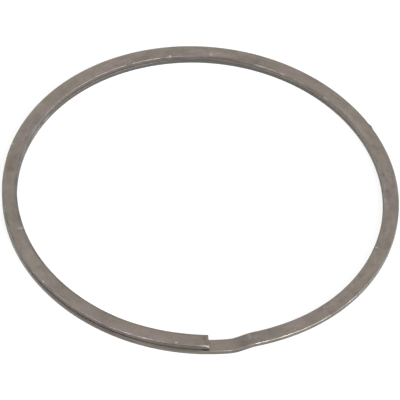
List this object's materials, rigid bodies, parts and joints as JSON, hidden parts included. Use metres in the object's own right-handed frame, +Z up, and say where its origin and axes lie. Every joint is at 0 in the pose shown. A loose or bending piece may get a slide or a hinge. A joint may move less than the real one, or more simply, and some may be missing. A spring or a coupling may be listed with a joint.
{
  "type": "spiral wound retaining ring",
  "caption": "Spiral ring wound on edge from flat steel wire, with an offset bend and square cut ends; holds an exhaust pipe's flange and gasket in place.",
  "frame": {"origin": "on the axis of the upper turn's bore, in the plane that the lower turn rests on", "axes": "+Z up along the bore's axis; the offset bend and the upper cut end are at the front, on the -Y side; +X to the right"},
  "size_m": [0.05, 0.0501, 0.0016],
  "materials": {
    "bare_steel": "bare drawn spring steel, dull warm grey, faintly grained along the wire, with small nicks and spots"
  },
  "bodies": {
    "root": {"spiral_ring": "bare_steel"}
  },
  "joints": []
}
